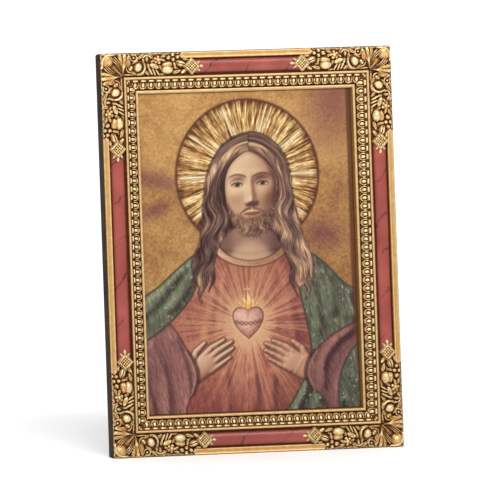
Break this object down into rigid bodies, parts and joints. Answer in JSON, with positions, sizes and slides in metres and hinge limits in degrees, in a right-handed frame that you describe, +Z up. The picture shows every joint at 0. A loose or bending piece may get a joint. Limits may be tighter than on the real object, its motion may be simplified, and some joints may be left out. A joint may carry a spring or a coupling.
{
  "type": "framed devotional picture",
  "caption": "Leaning tabletop picture of a haloed figure with a flaming heart, in a gilt cast frame with fruit-and-leaf corners, on an easel foot",
  "frame": {"origin": "middle of the frame's level underside, on the ground", "axes": "+Z up, front towards -Y, +X to the right of the picture as it is looked at"},
  "size_m": [0.165, 0.0572, 0.2148],
  "materials": {
    "gilt": "antique gold paint with dark brown patina in the hollows",
    "print": "printed card, satin varnish",
    "umber": "dark umber paint over cast resin",
    "crimson": "semi-gloss crimson paint with dark veins, on the frame's half-round panels"
  },
  "bodies": {
    "root": {"frame": "gilt", "picture_card": "print", "easel_foot": "umber"}
  },
  "joints": []
}
